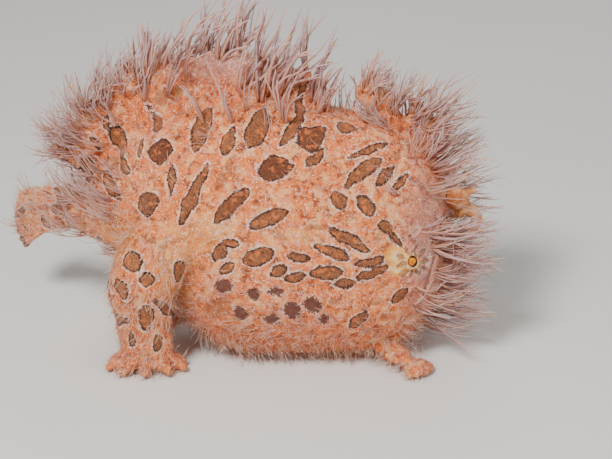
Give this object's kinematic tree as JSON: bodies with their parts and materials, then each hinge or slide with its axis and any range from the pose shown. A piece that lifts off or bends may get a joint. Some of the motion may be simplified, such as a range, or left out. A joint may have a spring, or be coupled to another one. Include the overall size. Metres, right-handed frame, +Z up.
{
  "type": "frogfish",
  "caption": "Life-size hairy frogfish resting on its arm-like fins and belly, coated in long skin filaments, with a worm-like lure.",
  "frame": {"origin": "middle of the whole fish's box, at the level of the floor that it rests on", "axes": "+X the way the fish looks, along its length; +Y to its left side; +Z up from the floor"},
  "size_m": [0.1312, 0.057, 0.0912],
  "materials": {
    "skin": "soft velvety skin, salmon pink with dark-edged brown spots",
    "fin": "thin skin over raised rays, pink with brown spots",
    "eye": "wet gloss, golden iris",
    "bait": "moist tan skin"
  },
  "bodies": {
    "root": {"head": "skin", "lower_jaw": "skin", "torso": "skin", "tail_stalk": "skin", "pectoral_arm_r": "skin", "pectoral_arm_l": "skin", "pectoral_hand_r": "skin", "pectoral_hand_l": "skin", "pelvic_fin_r": "skin", "pelvic_fin_l": "skin", "dorsal_spine_2": "skin", "dorsal_spine_3": "skin", "lure_rod": "skin", "dorsal_fin": "fin", "anal_fin": "fin", "tail_fin": "fin", "eye_r": "eye", "eye_l": "eye", "lure_bait": "bait"}
  },
  "joints": []
}
